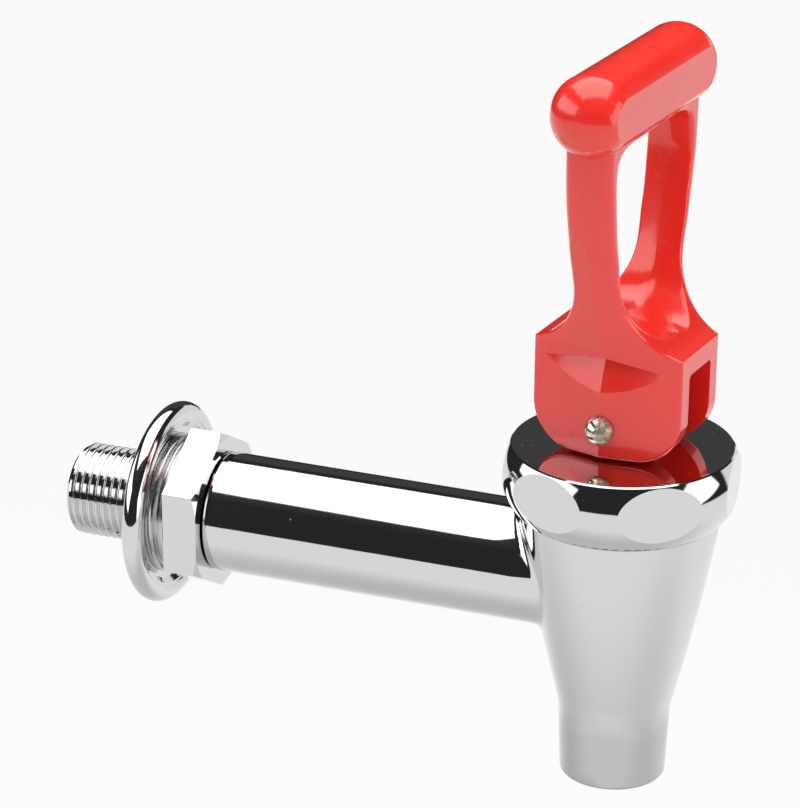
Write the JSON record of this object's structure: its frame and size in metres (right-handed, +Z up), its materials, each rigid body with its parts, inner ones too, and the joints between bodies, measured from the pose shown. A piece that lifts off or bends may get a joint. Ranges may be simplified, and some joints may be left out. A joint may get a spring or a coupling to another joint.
{
  "type": "boiler faucet",
  "caption": "Chrome boiler faucet: threaded shank with wall flange and lock nut, tapered valve body with a down spout, and a red loop handle that tilts to open it.",
  "frame": {"origin": "centre of the wall flange's back face, on the axis of the threaded shank", "axes": "+X out of the wall along the shank to the valve, +Z up along the stem, +Y to the left seen from the wall"},
  "size_m": [0.1539, 0.0588, 0.1657],
  "materials": {
    "chromed_casting": "polished chrome plate",
    "chromed_flange": "polished chrome plate",
    "chromed_nut": "polished chrome plate",
    "chromed_bonnet": "polished chrome plate",
    "silicone": "moulded silicone",
    "stem_steel": "turned stainless steel",
    "spring_steel": "drawn stainless wire",
    "red_plastic": "glossy moulded plastic",
    "pin_nickel": "nickel-plated pin, worn on the heads"
  },
  "bodies": {
    "casting": {"faucet_body": "chromed_casting", "bonnet": "chromed_bonnet"},
    "valve": {"seat_cup": "silicone", "spring": "spring_steel"},
    "stem_body": {"stem": "stem_steel"},
    "handle_body": {"handle": "red_plastic", "handle_pin": "pin_nickel"},
    "flange_body": {"wall_flange": "chromed_flange"},
    "nut_body": {"lock_nut": "chromed_nut"}
  },
  "joints": [
    {"name": "stem_lift", "type": "slide", "parent": "casting", "child": "valve", "axis": [0, 0, 1], "range_m": [0, 0.00482], "stiffness_N_per_m": 1500, "springref_m": -0.008, "deforming": ["seat_cup", "spring"]},
    {"name": "handle_swivel", "type": "hinge", "parent": "valve", "child": "stem_body", "pos_m": [0.1092, 0, 0], "axis": [0, 0, 1], "continuous": true},
    {"name": "handle_tilt", "type": "hinge", "parent": "stem_body", "child": "handle_body", "pos_m": [0.1092, 0, 0.0389], "axis": [0.1063, 0.9943, 0], "range_deg": [0, 35]},
    {"name": "flange_slide", "type": "slide", "parent": "casting", "child": "flange_body", "axis": [-1, 0, 0], "range_m": [0, 0.01088]},
    {"name": "locknut_turn", "type": "hinge", "parent": "flange_body", "child": "nut_body", "pos_m": [0.009, 0, 0], "axis": [-1, 0, 0], "range_deg": [0, 2160]}
  ],
  "couplings": [
    {"joint": "handle_tilt", "follows": "stem_lift", "rad_per_m": 126.6},
    {"joint": "locknut_turn", "follows": "flange_slide", "rad_per_m": 3463.7}
  ]
}
